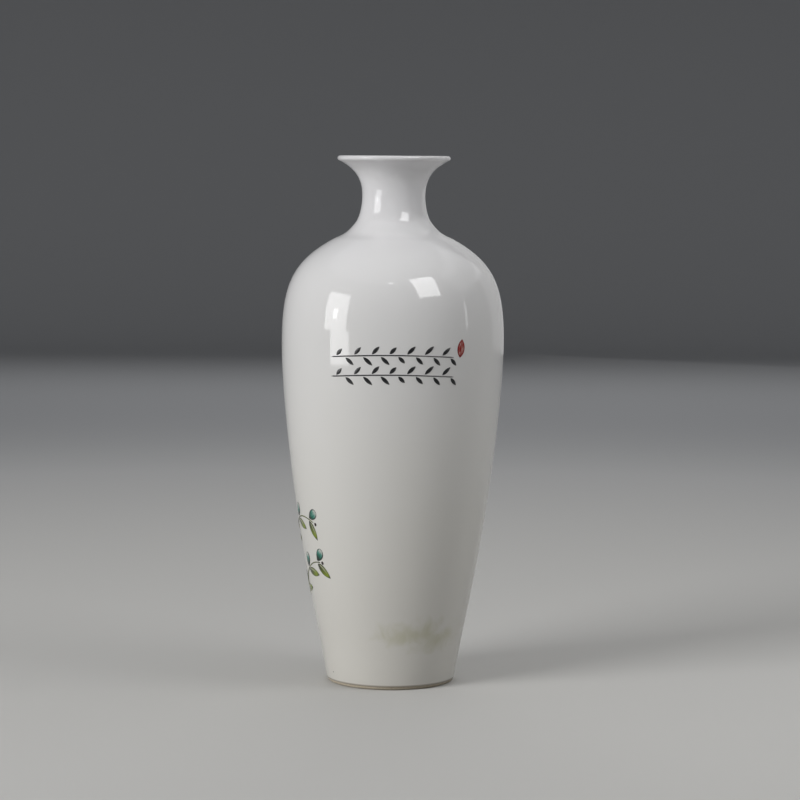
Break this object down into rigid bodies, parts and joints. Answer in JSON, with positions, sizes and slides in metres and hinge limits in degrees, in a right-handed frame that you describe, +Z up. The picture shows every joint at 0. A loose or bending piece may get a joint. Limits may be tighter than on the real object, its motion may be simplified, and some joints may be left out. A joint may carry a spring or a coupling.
{
  "type": "vase",
  "caption": "Tall white glazed porcelain vase with a high shoulder, waisted neck and trumpet mouth, painted with leafy sprays in enamel.",
  "frame": {"origin": "centre of the foot ring on the surface that the vase stands on", "axes": "+Z up the vase's axis; the painted front faces -Y"},
  "size_m": [0.1096, 0.1099, 0.26],
  "materials": {
    "porcelain_biscuit": "unglazed fired porcelain, matt and fine grained",
    "porcelain_slip": "fired porcelain slip, matt",
    "white_glaze": "clear glaze on white porcelain, glossy",
    "teal_enamel": "overglaze enamel, glossy",
    "olive_enamel": "overglaze enamel, glossy",
    "dark_enamel": "overglaze enamel, glossy",
    "ink_enamel": "overglaze black enamel, satin",
    "iron_red_enamel": "iron red overglaze enamel, satin"
  },
  "bodies": {
    "root": {"lower_body": "porcelain_biscuit", "belly_luting_slip": "porcelain_slip", "shoulder_section": "porcelain_biscuit", "neck_luting_slip": "porcelain_slip", "neck_and_mouth": "porcelain_biscuit", "outer_glaze": "white_glaze", "inner_glaze": "white_glaze", "base_glaze": "white_glaze", "teal_enamel_leaves": "teal_enamel", "olive_enamel_leaves": "olive_enamel", "olive_enamel_stems": "olive_enamel", "dark_enamel_buds": "dark_enamel", "ink_enamel_twig": "ink_enamel", "red_enamel_bud": "iron_red_enamel"}
  },
  "joints": []
}
